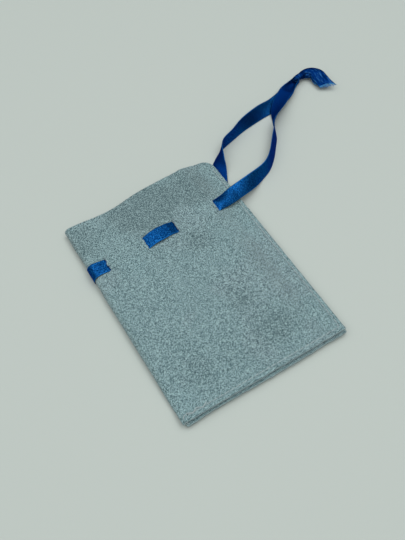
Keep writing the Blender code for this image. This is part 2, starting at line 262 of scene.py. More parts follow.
def mouth_line(across):
    slope = (SEAM_SIDE_LENGTH - FOLD_SIDE_LENGTH) / POUCH_WIDTH
    return FOLD_SIDE_LENGTH + slope * across


def mouth_along(across, corner_radius, extra):
    into_corner = across - (POUCH_WIDTH - corner_radius)
    inside = sqrt(max(corner_radius**2 - max(into_corner, 0.0) ** 2, 0.0))
    from_hollow = (across - MOUTH_HOLLOW_ACROSS) / MOUTH_HOLLOW_WIDTH
    hollow = MOUTH_HOLLOW * exp(-(from_hollow**2))
    return mouth_line(across) + extra - hollow - (corner_radius - inside)


def front_lip(across):
    """The front panel's cut edge at the mouth: it draws back where the panels stand apart."""
    apart = ease(across / FOLD_EASE) * ease((POUCH_WIDTH - across) / SIDE_EASE)
    return mouth_along(across, FRONT_CORNER_RADIUS, -LIP_DRAW * apart)


def world(across, along, height):
    return Vector((across - POUCH_WIDTH / 2, along - POUCH_LENGTH / 2, height))


def to_mouth(across, along):
    return ease((along - mouth_line(across) + MOUTH_LENGTH) / MOUTH_LENGTH)


def room(across, along):
    """How far the panels are apart, without the dip at the lips."""
    spring = SUEDE_THICKNESS / 2 + CLEARANCE
    from_seam = POUCH_WIDTH - SIDE_MARGIN - across
    fullness = (BODY_GAP - FOLD_GAP) * (1 - MOUTH_CLOSING * to_mouth(across, along))
    body = FOLD_GAP + fullness * ease((across - spring) / FOLD_EASE)
    return body * ease(from_seam / SIDE_EASE) * ease((along - BOTTOM_MARGIN) / BOTTOM_EASE)


def panel_gap(across, along):
    dip = LIP_DIP * exp(-(((across - LIP_DIP_ACROSS) / LIP_DIP_WIDTH) ** 2))
    return CLEARANCE + room(across, along) - dip * to_mouth(across, along)


def slit_along(number):
    across, below = SLITS[number]
    return mouth_line(across) - below


def slit_row(across):
    """The line that the ribbon follows."""
    places = [(at, mouth_line(at) - below) for at, below in SLITS]
    if across <= places[0][0]:
        return places[0][1]
    for (left, low), (right, high) in zip(places, places[1:]):
        if across <= right:
            return low + (high - low) * ease((across - left) / (right - left))
    return places[-1][1]


def back_lift(across, along):
    from_row = along - slit_row(across)
    half = RIBBON_WIDTH / 2 + CLEARANCE
    below = ease((from_row + half + LIFT_EASE) / LIFT_EASE)
    above = ease((half + LIFT_EASE - from_row) / LIFT_EASE)
    leg_side = ease((across - SLITS[-1][0] + LIFT_EASE) / LIFT_EASE)
    over_ribbon = below * max(above, leg_side)
    from_side = POUCH_WIDTH - SIDE_MARGIN - across
    side = 1 - ease((from_side - THREAD_DIAMETER) / LIFT_EASE)
    bottom = 1 - ease((along - BOTTOM_MARGIN - THREAD_DIAMETER) / LIFT_EASE)
    at_seam = 1 - (1 - side) * (1 - bottom)
    return SEAM_LIFT * at_seam + RIBBON_LIFT * over_ribbon * (1 - at_seam)


def front_outer(across, along):
    return back_lift(across, along) + 2 * SUEDE_THICKNESS + panel_gap(across, along)


# The suede's own relief


def wave(across, along, length, seed):
    """Smooth noise from -1 to 1 with about this length."""
    return noise.noise(Vector((across / length, along / length, seed)))


def front_middle(across, along):
    """Height of the front panel's middle, with the soft swells of a pouch in use."""
    share = room(across, along) / BODY_GAP * (1 - to_mouth(across, along))
    swell = sum(height * wave(across, along, length, seed) for height, length, seed in SWELLS)
    grain = GRAIN_HEIGHT * wave(across, along, GRAIN_LENGTH, 7.5)
    return front_outer(across, along) - SUEDE_THICKNESS / 2 + swell * share + grain


def back_middle(across, along):
    grain = GRAIN_HEIGHT * (1 + wave(across, along, GRAIN_LENGTH, 9.5))
    return back_lift(across, along) + SUEDE_THICKNESS / 2 + grain


def seam_sizes():
    """The seam line's side, its straight length, its corner's length and its whole length."""
    side = POUCH_WIDTH - SIDE_MARGIN
    top = mouth_line(side) - SEAM_MOUTH_INSET
    straight = top - BOTTOM_MARGIN - SEAM_CORNER_RADIUS
    turned = pi / 2 * SEAM_CORNER_RADIUS
    whole = straight + turned + side - SEAM_CORNER_RADIUS - SEAM_FOLD_INSET
    return side, straight, turned, whole


SEAM_SIDE, SEAM_STRAIGHT, SEAM_TURNED, SEAM_WHOLE = seam_sizes()
STITCHES = round(SEAM_WHOLE / STITCH_LENGTH)
STITCH = SEAM_WHOLE / STITCHES
SEAM_TOP = BOTTOM_MARGIN + SEAM_CORNER_RADIUS + SEAM_STRAIGHT


def seam_place(gone):
    """Place and direction on the seam line, at a length from its end at the mouth."""
    corner = SEAM_CORNER_RADIUS
    if gone <= SEAM_STRAIGHT:
        return SEAM_SIDE, SEAM_TOP - gone, (0.0, -1.0)
    if gone <= SEAM_STRAIGHT + SEAM_TURNED:
        turn = (gone - SEAM_STRAIGHT) / corner
        across = SEAM_SIDE - corner + corner * cos(turn)
        along = BOTTOM_MARGIN + corner - corner * sin(turn)
        return across, along, (-sin(turn), -cos(turn))
    gone -= SEAM_STRAIGHT + SEAM_TURNED
    return SEAM_SIDE - corner - gone, BOTTOM_MARGIN, (-1.0, 0.0)


def seam_press(across, along):
    """How far the stitches press the suede in: a channel, with a dimple at each hole."""
    from_side = abs(across - SEAM_SIDE) if along > BOTTOM_MARGIN else POUCH_WIDTH
    from_bottom = abs(along - BOTTOM_MARGIN) if across < SEAM_SIDE else POUCH_WIDTH
    if from_side < from_bottom:
        beside, gone = from_side, SEAM_TOP - along
    else:
        beside = from_bottom
        gone = SEAM_STRAIGHT + SEAM_TURNED + SEAM_SIDE - SEAM_CORNER_RADIUS - across
    if not -STITCH / 2 < gone < SEAM_WHOLE + STITCH / 2:
        return 0.0
    from_hole = ((gone / STITCH + 0.5) % 1 - 0.5) * STITCH
    channel = CHANNEL_DEPTH * exp(-((beside / CHANNEL_REACH) ** 2))
    dimple = HOLE_DEPTH * exp(-((beside**2 + from_hole**2) / HOLE_REACH**2))
    puff = PUFF_HEIGHT * exp(-(((beside - PUFF_BESIDE) / PUFF_REACH) ** 2))
    return channel + dimple - puff * cos(pi * from_hole / STITCH)


# Slits and the ribbon between them


def nearest_slit(across):
    number = min(range(len(SLITS)), key=lambda n: abs(across - SLITS[n][0]))
    return number, across - SLITS[number][0]


def at_slit(across, side):
    """The nearest slit and the way to it, where side tells a cut's two edges apart."""
    number, away = nearest_slit(across)
    return number, away or side * RIBBON_PLAY


def cut_reach(number, along):
    """0 at the middle of a slit and 1 at its ends."""
    return abs(along - slit_along(number)) / (SLIT_CUT / 2)


def is_outside(number, away):
    """The ribbon is outside on the fold's side of one slit and beyond the next."""
    return away < 0 if number % 2 == 0 else away > 0


def lip_share(away):
    """How much of the lips' spread is left at this distance from the cut."""
    return ease(1 - abs(away) / LIP_REACH)


def lip_offset(across, along, side, lip_out):
    """How far the suede stands out beside a slit, or in where the ribbon lies on it."""
    number, away = at_slit(across, side)
    soft = min(abs(away) / LIP_REACH, 1)
    reach = cut_reach(number, along)
    full = max(0.0, 1 - (reach / (1 + 0.6 * soft)) ** (10 - 7 * soft))
    lip_in = SUEDE_THICKNESS + 2 * RIBBON_SEAT - lip_out
    spread = -lip_in if is_outside(number, away) else lip_out
    return spread * lip_share(away) * full


def lip_edge(across, along, side):
    """The cut edge's own line: the lip over the ribbon reaches across it, torn and uneven."""
    number, _ = nearest_slit(across)
    full = max(0.0, 1 - cut_reach(number, along) ** 4)
    ragged = wave(0.0, along, 0.0009, 31.5 + 2.7 * number + side)
    ragged += 0.7 * wave(0.0, along, 0.0004, 35.5)
    if is_outside(number, side):
        return side * CUT_SHRINK * full
    return -side * (LIP_OVER_CUT + LIP_TEAR * ragged) * full


def ribbon_arch(across):
    """The ribbon stands off the suede where it is outside, most just after it comes out."""
    for start, end in ((-SLITS[0][0], SLITS[0][0]), (SLITS[1][0], SLITS[2][0])):
        if start < across < end:
            share = (across - start) / (end - start)
            rise = sin(pi * share) + 0.3 * sin(2 * pi * share)
            return RIBBON_ARCH * rise
    return 0.0


def ribbon_offset(across, side, lip_out):
    """The ribbon's height over the panel's middle, outwards."""
    number, away = at_slit(across, side)
    clear = SUEDE_THICKNESS / 2 + RIBBON_SEAT
    if is_outside(number, away):
        return clear - (2 * clear - lip_out) * lip_share(away)
    return lip_out * lip_share(away) - clear


# Meshes


def sheet_form(columns, rows):
    """A grid whose vertices know their column and their row."""
    form = bmesh.new()
    bmesh.ops.create_grid(form, x_segments=columns, y_segments=rows, size=1)
    column = form.verts.layers.int.new("column")
    row = form.verts.layers.int.new("row")
    for vert in form.verts:
        vert[column] = round((vert.co.x + 1) / 2 * columns)
        vert[row] = round((vert.co.y + 1) / 2 * rows)
    return form, column, row


def linked(name, data):
    """An object of the scene with this data."""
    made = bpy.data.objects.new(name, data)
    bpy.context.scene.collection.objects.link(made)
    return made


def meshed(name, form):
    """The form as a mesh object of the scene."""
    mesh = bpy.data.meshes.new(name)
    form.to_mesh(mesh)
    form.free()
    return linked(name, mesh)


def finished(name, form, finishes, nodes):
    """The form as a piece of the pouch that stands for these solids."""
    piece = meshed(name, form)
    piece.data.shade_smooth()
    for finish in finishes:
        piece.data.materials.append(finish)
    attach(piece, "root")
    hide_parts(*nodes)
    return piece


def thicken(piece, thickness, back_material=0, rim_material=0):
    wall = piece.modifiers.new("Thickness", "SOLIDIFY")
    wall.thickness = thickness
    wall.material_offset = back_material
    wall.offset = 0
    wall.use_even_offset = True
    wall.use_quality_normals = True
    wall.material_offset_rim = rim_material


def keep_above(height, *places):
    for place in places:
        place.z = max(place.z, height)


def threads_mesh(name, lines, radius):
    """Round threads along lines of points, as one mesh with closed ends."""
    curve = bpy.data.curves.new(name, "CURVE")
    curve.dimensions = "3D"
    curve.bevel_depth = radius
    curve.bevel_resolution = 1
    curve.use_fill_caps = True
    for line in lines:
        spline = curve.splines.new("POLY")
        spline.points.add(len(line) - 1)
        for point, (place, thickness) in zip(spline.points, line):
            point.co = (*place, 1)
            point.radius = thickness
    guide = linked(name, curve)
    shaped = guide.evaluated_get(bpy.context.evaluated_depsgraph_get())
    mesh = bpy.data.meshes.new_from_object(shaped)
    bpy.data.objects.remove(guide)
    form = bmesh.new()
    form.from_mesh(mesh)
    bpy.data.meshes.remove(mesh)
    bmesh.ops.remove_doubles(form, verts=form.verts, dist=radius / 50)
    return form


# Finishes


def maths(operation, reflected=False):
    """A method of Shade that makes a Math node of itself and another value."""

    def method(self, other=0.0):
        values = {0: other, 1: self} if reflected else {0: self, 1: other}
        return self.finish.node("ShaderNodeMath", {"operation": operation}, values)

    return method


class Shade:
    """A socket of a finish, on which Python's operators make Math nodes."""

    __add__ = maths("ADD")
    __radd__ = maths("ADD", reflected=True)
    __sub__ = maths("SUBTRACT")
    __rsub__ = maths("SUBTRACT", reflected=True)
    __mul__ = maths("MULTIPLY")
    __abs__ = maths("ABSOLUTE")
    sine = maths("SINE")

    def __init__(self, finish, socket):
        self.finish = finish
        self.socket = socket

    def above(self, low, high):
        """0 below low, 1 above high, and smooth between them."""
        settings = {"interpolation_type": "SMOOTHSTEP"}
        values = {"Value": self, "From Min": low, "From Max": high}
        return self.finish.node("ShaderNodeMapRange", settings, values)

    def wave(self):
        """The sine of the value, from 0 to 1."""
        return self.sine() * 0.5 + 0.5


class Finish:
    """A material whose Principled surface is fed by nodes."""

    def __init__(self, name, **constants):
        self.material = bpy.data.materials.new(name)
        self.material.use_nodes = True
        self.tree = self.material.node_tree
        self.surface = self.tree.nodes["Principled BSDF"]
        for socket, value in constants.items():
            self.feed(self.surface.inputs[socket.replace("_", " ")], value)

    def feed(self, socket, value):
        if isinstance(value, Shade):
            self.tree.links.new(value.socket, socket)
        else:
            socket.default_value = value

    def node(self, kind, settings=None, values=None, output=0):
        """A node with its settings first, and then its sockets' values or links."""
        made = self.tree.nodes.new(kind)
        for name, value in (settings or {}).items():
            setattr(made, name, value)
        for socket, value in (values or {}).items():
            self.feed(made.inputs[socket], value)
        return Shade(self, made.outputs[output])

    def place(self, output="Object"):
        return self.node("ShaderNodeTexCoord", output=output)

    def axis(self, vector, number):
        return self.node("ShaderNodeSeparateXYZ", values={0: vector}, output=number)

    def away(self, across, along, height):
        """Distance from a place of the pouch."""
        values = {0: self.place(), 1: tuple(world(across, along, height))}
        return self.node("ShaderNodeVectorMath", {"operation": "DISTANCE"}, values, output=1)

    def grain(self, vector, scale, detail=2.0, roughness=0.6, distortion=0.0):
        values = {
            "Vector": vector,
            "Scale": scale,
            "Detail": detail,
            "Roughness": roughness,
            "Distortion": distortion,
        }
        return self.node("ShaderNodeTexNoise", values=values)

    def slubs(self, weave, beside, onward, roughness=0.6, distortion=0.0):
        """Grain with one scale across the ribbon and one along it."""
        values = {"Vector": weave, "Scale": (beside, onward, 1.0)}
        drawn_out = self.node("ShaderNodeMapping", values=values)
        return self.grain(drawn_out, 1.0, 2.0, roughness, distortion)

    def mix(self, share, first, second):
        values = {0: share, 6: opaque(first), 7: opaque(second)}
        return self.node("ShaderNodeMix", {"data_type": "RGBA"}, values, output=2)

    def bump(self, height, distance, strength=1.0):
        values = {"Height": height, "Distance": distance, "Strength": strength}
        self.feed(self.surface.inputs["Normal"], self.node("ShaderNodeBump", values=values))

    def set(self, socket, value):
        self.feed(self.surface.inputs[socket], value)


def opaque(colour):
    return colour if isinstance(colour, Shade) else (*colour, 1.0)


def dimmed(colour, share):
    """The colour, as much darker or lighter as share says."""
    return [part * share for part in colour]


def colour_property(name, description, default):
    return bpy.props.FloatVectorProperty(
        name=name,
        description=description,
        default=default,
        size=3,
        min=0.0,
        max=1.0,
        subtype="COLOR",
    )


def length_property(name, description, default):
    return bpy.props.FloatProperty(
        name=name,
        description=description,
        default=default,
        min=0.0,
        precision=5,
        subtype="DISTANCE",
        unit="LENGTH",
    )


def amount_property(name, description, default):
    return bpy.props.FloatProperty(name=name, description=description, default=default, min=0.0)


class PouchSuede(bpy.types.PropertyGroup):
    """Colours and nap of the suede."""

    colour: colour_property("Suede", "Main colour of the suede", (0.148, 0.250, 0.266))
    dark: colour_property("Nap shade", "Colour in the nap's hollows", (0.024, 0.062, 0.074))
    pale: colour_property("Nap tips", "Colour of the nap's tips", (0.345, 0.495, 0.505))
    faded: colour_property("Faded", "Colour of the greyer patches", (0.192, 0.252, 0.276))
    cut: colour_property("Cut edge", "Colour of the raw edge", (0.360, 0.490, 0.500))
    nap: length_property("Nap", "Depth of the nap", 0.00022)
    fibres: bpy.props.IntProperty(
        name="Fibres", description="Loose fibres on the raw edges", default=4200, min=0
    )
    fibre_length: length_property("Fibre length", "Length of a loose fibre", 0.00075)


class PouchSatin(bpy.types.PropertyGroup):
    """Colours and weave of the ribbon."""

    colour: colour_property("Satin", "Colour of the satin", (0.002, 0.052, 0.215))
    reverse: colour_property("Reverse", "Colour of the ribbon's back", (0.001, 0.036, 0.200))
    bright: colour_property("Bright yarn", "Colour of the yarn that shines", (0.014, 0.160, 0.460))
    frayed: colour_property("Frayed", "Colour of the loosened yarn", (0.060, 0.230, 0.430))
    yarn: length_property("Yarn", "Distance from yarn to yarn", 0.00016)


class PouchThread(bpy.types.PropertyGroup):
    """Sewing thread."""

    colour: colour_property("Thread", "Colour of the thread", (0.400, 0.500, 0.515))
    twist: length_property("Twist", "Length of one turn of the thread's plies", 0.0011)


class PouchStage(bpy.types.PropertyGroup):
    """Floor and light."""

    floor: colour_property("Floor", "Colour of the floor", (0.470, 0.522, 0.487))
    sky: amount_property("Sky", "Strength of the light from all sides", 0.25)
    key: amount_property("Key", "Power of the soft lamp, in watts", 15.0)
    leg_side: amount_property("Second lamp", "Power of the lamp on the ribbon's side", 2.8)


def suede_finish(look):
    """Brushed suede: curly nap clumps, nap patches with painted shade and light, and a few greyer
    ones.
    """
    finish = Finish("suede_nap", Roughness=0.96, Sheen_Weight=0.2, Sheen_Roughness=0.55)
    place = finish.place()
    clumps = finish.grain(place, 1600.0, 2.0, 0.6, 0.4)
    speckle = finish.grain(place, 3400.0, 2.0, 0.7, 0.3)
    nap = speckle * 0.7 + clumps * 0.3
    clouds = finish.grain(place, 60.0, 3.0, 0.6)
    nap_and_painted_shade = nap_and_painted_shade_patches(finish) * 1.2 + clouds * 1.3 - 0.65
    greyer = finish.grain(place, 46.0, 2.0, 0.5).above(0.50, 0.64)
    coloured = finish.mix(greyer * 0.45, look.colour, look.faded)
    # Darker and lighter copies of the suede's colour, for the painted shade and the painted light
    shade = dimmed(look.colour, 0.66)
    light = dimmed(look.colour, 1.28)
    toned = finish.mix(nap_and_painted_shade.above(0.0, 1.0), coloured, shade)
    toned = finish.mix((0 - nap_and_painted_shade).above(0.0, 1.0), toned, light)
    # Painted shade in the nap's hollows; the nap's tips are paler
    pitted = finish.mix(1 - nap.above(0.44, 0.49), toned, look.dark)
    tipped = finish.mix(nap.above(0.51, 0.56), pitted, look.pale)
    # Still more painted shade where the patches are darkest, mostly across the mouth
    finish.set("Base Color", finish.mix(nap_and_painted_shade.above(0.0, 1.5) * 0.17, tipped, look.dark))
    finish.bump(nap, look.nap, 0.9)
    return finish.material


def nap_and_painted_shade_patches(finish):
    """Nap patches with painted shade above 0, darkest across the mouth, and painted light below.
    """
    total = 0.0
    for across, along, radius, amount in NAP_AND_PAINTED_SHADE_PATCHES:
        away = finish.away(across, along, BODY_GAP)
        total = (1 - away.above(0.15 * radius, radius)) * amount + total
    return total


def cut_finish(look):
    """The raw edge of the suede, where the fibres stand out."""
    finish = Finish("suede_cut_edge", Roughness=0.98, Sheen_Weight=0.3, Sheen_Roughness=0.5)
    fibres = finish.grain(finish.place(), 2600.0, 3.0, 0.7)
    finish.set("Base Color", finish.mix(fibres.above(0.34, 0.52), look.colour, look.cut))
    finish.bump(fibres, look.nap)
    return finish.material


def satin_finish(look):
    """Satin ribbon: long floats that shine in their own blue, between two woven edges."""
    finish = Finish("ribbon_satin", Specular_Tint=opaque(look.bright))
    weave = finish.place("UV")
    beside = finish.axis(weave, 0)
    onward = finish.axis(weave, 1)
    turns = 2 * pi / look.yarn
    floats = (beside * turns).wave()
    steps = (onward * (turns / 2) + beside * (turns * 0.37)).wave()
    slub = finish.slubs(weave, 2600.0, 700.0)
    selvedge = woven_border(beside)
    picots = (onward * (2 * pi / PICOT)).wave() * selvedge
    loose = loosened(finish, slub)
    glitter = finish.slubs(weave, 2300.0, 1500.0, 0.7)
    dark = dimmed(look.colour, 0.45)
    body = finish.mix(glitter.above(0.36, 0.50), dark, look.colour)
    body = finish.mix(glitter.above(0.50, 0.60), body, look.bright)
    bordered = finish.mix(selvedge * 0.35 + picots * 0.4, body, look.bright)
    finish.set("Base Color", finish.mix(loose, bordered, look.frayed))
    finish.set("Roughness", 0.30 + slub * 0.10 + selvedge * 0.08 + loose * 0.3)
    finish.set("Metallic", 0.97 - loose * 0.6)
    relief = floats * 0.35 + steps * 0.25 + slub * 0.9 + picots * 0.6 + glitter * 1.2
    finish.bump(relief, YARN_RELIEF, 0.9)
    return finish.material


def woven_border(beside):
    """1 on the two tight borders of the ribbon."""
    return abs(beside).above(RIBBON_WIDTH / 2 - BORDER, RIBBON_WIDTH / 2 - BORDER / 2)


def loosened(finish, slub):
    """Where the weave has come loose at a cut end, in tufts."""
    values = {"attribute_name": "frayed"}
    frayed = finish.node("ShaderNodeAttribute", values, output="Fac")
    return (frayed * 1.1 + slub * 1.7 - 1.45).above(0.0, 0.5)


def reverse_finish(look):
    """The dull back of the satin, where the yarns are tied in."""
    finish = Finish("ribbon_reverse", Specular_IOR_Level=0.3, Specular_Tint=opaque(look.bright))
    weave = finish.place("UV")
    rib = (finish.axis(weave, 1) * (2 * pi / look.yarn)).wave()
    slub = finish.slubs(weave, 1500.0, 2300.0)
    dark = dimmed(look.reverse, 0.7)
    plain = finish.mix(slub.above(0.35, 0.65), dark, look.reverse)
    border = woven_border(finish.axis(weave, 0)) * slub.above(0.40, 0.60)
    plain = finish.mix(border * 0.6, plain, look.bright)
    # Painted shade in the creases and painted highlights on their ridges, in streaks on the knot
    # and its tails
    streak = finish.slubs(weave, 1300.0, 260.0, distortion=0.5)
    tail = on_tail(finish)
    crease_shade = dimmed(look.reverse, 0.45)
    plain = finish.mix((1 - streak.above(0.40, 0.52)) * tail, plain, crease_shade)
    plain = finish.mix(streak.above(0.53, 0.65) * tail * 0.4, plain, look.frayed)
    finish.set("Base Color", finish.mix(loosened(finish, slub), plain, look.frayed))
    finish.set("Roughness", 0.55 + slub * 0.1)
    finish.set("Metallic", 0.9 + slub * 0.1)
    finish.bump(rib * 0.5 + slub, YARN_RELIEF, 0.7)
    return finish.material


def on_tail(finish):
    """1 on the knot and its tails, where streaks of painted shade and painted highlight stand in
    for creases from pulling it tight.
    """
    return 1 - finish.away(*TAIL_MIDDLE).above(0.0095, 0.0125)


def yarn_finish(look):
    """Single yarns that have come out of the ribbon's cut end."""
    finish = Finish("loose_yarn", Roughness=0.55, Sheen_Weight=0.2)
    shade = finish.grain(finish.place(), 900.0, 1.0, 0.5)
    finish.set("Base Color", finish.mix(shade.above(0.35, 0.65), look.bright, look.frayed))
    return finish.material


def thread_finish(look):
    """Spun thread: fine fibres along each ply."""
    finish = Finish("sewing_thread", Roughness=0.75, Sheen_Weight=0.3, Sheen_Roughness=0.5)
    fibres = finish.grain(finish.place(), 6000.0, 2.0, 0.6)
    dark = dimmed(look.colour, 0.72)
    finish.set("Base Color", finish.mix(fibres.above(0.3, 0.7), dark, look.colour))
    finish.bump(fibres, YARN_RELIEF)
    return finish.material


def floor_finish(look):
    finish = Finish("floor", Roughness=0.85)
    patches = finish.grain(finish.place(), 3.0, 2.0, 0.5)
    paler = dimmed(look.floor, 1.03)
    finish.set("Base Color", finish.mix(patches, look.floor, paler))
    return finish.material


def kept_finish(name, make, look):
    """One material of each name."""
    return bpy.data.materials.get(name) or make(look)


# Suede


def spread(start, end, count, crowd=0.0):
    """Places from start up to end, closer together at both ends as crowd grows."""
    shares = [step / count for step in range(count)]
    return [
        start + (end - start) * (share - crowd * sin(2 * pi * share) / (2 * pi))
        for share in shares
    ]


def panel_columns(counts):
    """Shares of a panel's width, crowded at the slits and at the seam."""
    spring = (FOLD_GAP + CLEARANCE) / 2 + SUEDE_THICKNESS
    stops = [(across - spring) / (POUCH_WIDTH - spring) for across, _ in SLITS]
    stops = [0.0, *stops, 1 - FRONT_CORNER_RADIUS / POUCH_WIDTH, 1.0]
    crowds = [0.4] + [0.62] * (len(SLITS) - 1) + [0.0, 0.0]
    columns = []
    marks = []
    for start, end, count, crowd in zip(stops, stops[1:], counts, crowds):
        marks.append(len(columns))
        columns += spread(start, end, count, crowd)
    return [*columns, 1.0], marks[1 : 1 + len(SLITS)]


def suede_rows():
    """Shares of the pouch's length, crowded at the seam, at the slits and at the mouth."""
    stops = (0.0, 0.045, 0.69, 0.79, 0.965, 1.0)
    counts = (14, 80, 31, 22, 10)
    rows = []
    for start, end, count in zip(stops, stops[1:], counts):
        rows += spread(start, end, count)
    return [*rows, 1.0]


FRONT_COUNTS = (16, 36, 34, 40, 22, 16)
BACK_COUNTS = (12, 26, 24, 28, 16, 14)
FOLD_COUNT = 18
FOLD_DENT = 0.00012
EDGE_WOBBLE = 0.00013
EDGE_SHARE = 0.03
FRONT_EDGE_LIFT = 0.00035

# How far the back panel shows past the front one, and how much that varies
BACK_PAST_SIDE = (0.00020, 0.00030)
BACK_PAST_BOTTOM = (0.00085, 0.00045)
BACK_VARIES_OVER = 0.014


def fold_spring(along):
    """How far from the fold the two panels start."""
    half_height = (panel_gap(0, along) + SUEDE_THICKNESS) / 2
    return half_height + SUEDE_THICKNESS / 2


def fold_round(spring, along):
    """Lowest height and radius of the fold's middle."""
    bottom = back_middle(spring, along)
    return bottom, (front_middle(spring, along) - bottom) / 2


def suede_place(panel, value, share, side):
    """A point of the suede's middle surface."""
    spring = fold_spring(share * mouth_line(0))
    if panel == "fold":
        along = share * mouth_along(spring, FRONT_CORNER_RADIUS, 0)
        bottom, radius = fold_round(spring, along)
        turn = pi * value
        dent = FOLD_DENT * wave(0.0, along, 0.006, 3.5)
        across = spring - (radius + dent) * sin(turn)
        return world(across, along, bottom + radius + radius * cos(turn))
    across = spring + value * (POUCH_WIDTH - spring)
    at_mouth = ease((share - 1 + EDGE_SHARE) / EDGE_SHARE)
    at_bottom = ease((EDGE_SHARE - share) / EDGE_SHARE)
    at_side = ease((value - 1 + EDGE_SHARE) / EDGE_SHARE)
    if panel == "front":
        seed = 11.5
        along = share * front_lip(across)
        out = lip_offset(across, along, side, FRONT_LIP_OUT) - seam_press(across, along)
        height = front_middle(across, along) + out + FRONT_EDGE_LIFT * at_bottom
    else:
        seed = 23.5
        extra = BACK_LIP_EXTRA * ease(value / (1 - value + CLEARANCE))
        along = share * mouth_along(across, BACK_CORNER_RADIUS, extra)
        out = lip_offset(across, along, side, BACK_LIP_OUT) - seam_press(across, along)
        height = back_middle(across, along) - out
    if side:
        across += lip_edge(across, along, side)
    frayed = wave(across, along, 0.0022, seed) + 0.6 * wave(across, along, 0.0008, seed)
    along += EDGE_WOBBLE * frayed * (at_mouth - at_bottom)
    across += EDGE_WOBBLE * (frayed - 1) * at_side
    if panel == "back":
        past, varied = BACK_PAST_SIDE
        across += (past + varied * wave(0.0, along, BACK_VARIES_OVER, 51.5)) * at_side
        past, varied = BACK_PAST_BOTTOM
        along -= (past + varied * wave(across, 0.0, BACK_VARIES_OVER, 53.5)) * at_bottom
    return world(across, along, height)


def suede_form():
    """The folded suede as one sheet, with its slits cut open."""
    front, front_marks = panel_columns(FRONT_COUNTS)
    back, back_marks = panel_columns(BACK_COUNTS)
    fold = [("fold", step / FOLD_COUNT) for step in range(1, FOLD_COUNT)]
    places = [("front", share) for share in reversed(front)] + fold
    first_back = len(places)
    places += [("back", share) for share in back]
    cuts = {len(front) - 1 - mark: number for number, mark in enumerate(front_marks)}
    cuts.update({first_back + mark: number for number, mark in enumerate(back_marks)})
    rows = suede_rows()
    form, column, row = sheet_form(len(places) - 1, len(rows) - 1)
    edges = []
    for edge in form.edges:
        one, other = edge.verts
        number = cuts.get(one[column])
        if number is None or one[column] != other[column]:
            continue
        at = SLITS[number][0]
        is_front = places[one[column]][0] == "front"
        whole = front_lip(at) if is_front else mouth_along(at, BACK_CORNER_RADIUS, BACK_LIP_EXTRA)
        middle = whole * (rows[one[row]] + rows[other[row]]) / 2
        if abs(middle - slit_along(number)) < SLIT_CUT / 2:
            edges.append(edge)
    bmesh.ops.split_edges(form, edges=edges)
    for vert in form.verts:
        panel, value = places[vert[column]]
        side = 0
        at_cut = vert[column] in cuts and vert.is_boundary
        if at_cut and vert[row] not in (0, len(rows) - 1):
            near = [v[column] for face in vert.link_faces for v in face.verts]
            toward = sum(near) / len(near) - vert[column]
            side = copysign(1, toward if panel == "back" else -toward)
        vert.co = suede_place(panel, value, rows[vert[row]], side)
    return form


class PouchSuedeOperator(bpy.types.Operator):
    """Add the folded and slit suede"""

    bl_idname = "pouch.add_suede"
    bl_label = "Suede"

    def execute(self, context):
        look = context.scene.pouch_suede
        finishes = [
            kept_finish("suede_nap", suede_finish, look),
            kept_finish("suede_cut_edge", cut_finish, look),
        ]
        form = suede_form()
        bmesh.ops.recalc_face_normals(form, faces=form.faces)
        body = finished("suede_pouch_body", form, finishes, ["suede_body"])
        thicken(body, SUEDE_THICKNESS, rim_material=1)
        return {"FINISHED"}


FIBRE_RADIUS = 0.000028


def edge_fibre(draw, panel, edge, length):
    """A loose fibre on one of the raw edges: three points, thinner to its tip."""
    if edge == "mouth":
        root, out = suede_place(panel, draw.uniform(0.02, 0.99), 1.0, 0), Vector((0, 1, 0))
    elif edge == "bottom":
        root, out = suede_place(panel, draw.uniform(0.0, 0.99), 0.0, 0), Vector((0, -1, 0))
    else:
        root, out = suede_place(panel, 1.0, draw.uniform(0.0, 0.95), 0), Vector((1, 0, 0))
    root.z += draw.uniform(-0.45, 0.45) * SUEDE_THICKNESS
    root -= out * SUEDE_THICKNESS / 12
    lean = Vector((draw.gauss(0, 0.6), draw.gauss(0, 0.6), draw.gauss(0, 0.35)))
    reach = length * draw.uniform(0.35, 1.0)
    middle = root + (out + lean * 0.5) * reach / 2
    tip = middle + (out * 0.6 + lean * 1.4) * reach / 2
    keep_above(GROUND_CLEARANCE, middle, tip)
    return [(root, 1.0), (middle, 0.8), (tip, 0.25)]


class PouchFibresOperator(bpy.types.Operator):
    """Add the loose fibres along the suede's raw edges"""

    bl_idname = "pouch.add_fibres"
    bl_label = "Edge fibres"

    def execute(self, context):
        look = context.scene.pouch_suede
        draw = random.Random(7)
        edges = ["mouth"] * 4 + ["side"] * 4 + ["bottom"] * 3
        lines = [
            edge_fibre(draw, draw.choice(("front", "back")), draw.choice(edges), look.fibre_length)
            for _ in range(look.fibres)
        ]
        form = threads_mesh("suede_edge_fibres", lines, FIBRE_RADIUS)
        finish = kept_finish("suede_cut_edge", cut_finish, look)
        finished("suede_edge_fibres", form, [finish], ["suede_body"])
        return {"FINISHED"}


# Ribbon


def smooth_path(points, samples):
    """Points of a curve that passes smoothly through the given ones."""
    ends = [2 * points[0] - points[1], *points, 2 * points[-1] - points[-2]]
    path = []
    for before, start, end, after in zip(ends, ends[1:], ends[2:], ends[3:]):
        for step in range(samples):
            t = step / samples
            line = start * 2 + (end - before) * t
            bow = (before * 2 - start * 5 + end * 4 - after) * t**2
            twist = (start * 3 - before - end * 3 + after) * t**3
            path.append((line + bow + twist) / 2)
    return [*path, points[-1]]


def lengths(places):
    """The way to each of the places, along all of them."""
    gone = [0.0]
    for one, other in zip(places, places[1:]):
        gone.append(gone[-1] + (other - one).length)
    return gone


def directions(places):
    """The way that a line through the places runs at each of them."""
    before = [places[0], *places[:-1]]
    after = [*places[1:], places[-1]]
    return [(far - near).normalized() for near, far in zip(before, after)]


def slit_width(across):
    """The ribbon is gathered where it goes through a slit."""
    _, away = nearest_slit(across)
    share = ease(abs(away) / RIBBON_WIDENS_OVER)
    return RIBBON_WIDTH_IN_SLIT + (RIBBON_WIDTH - RIBBON_WIDTH_IN_SLIT) * share


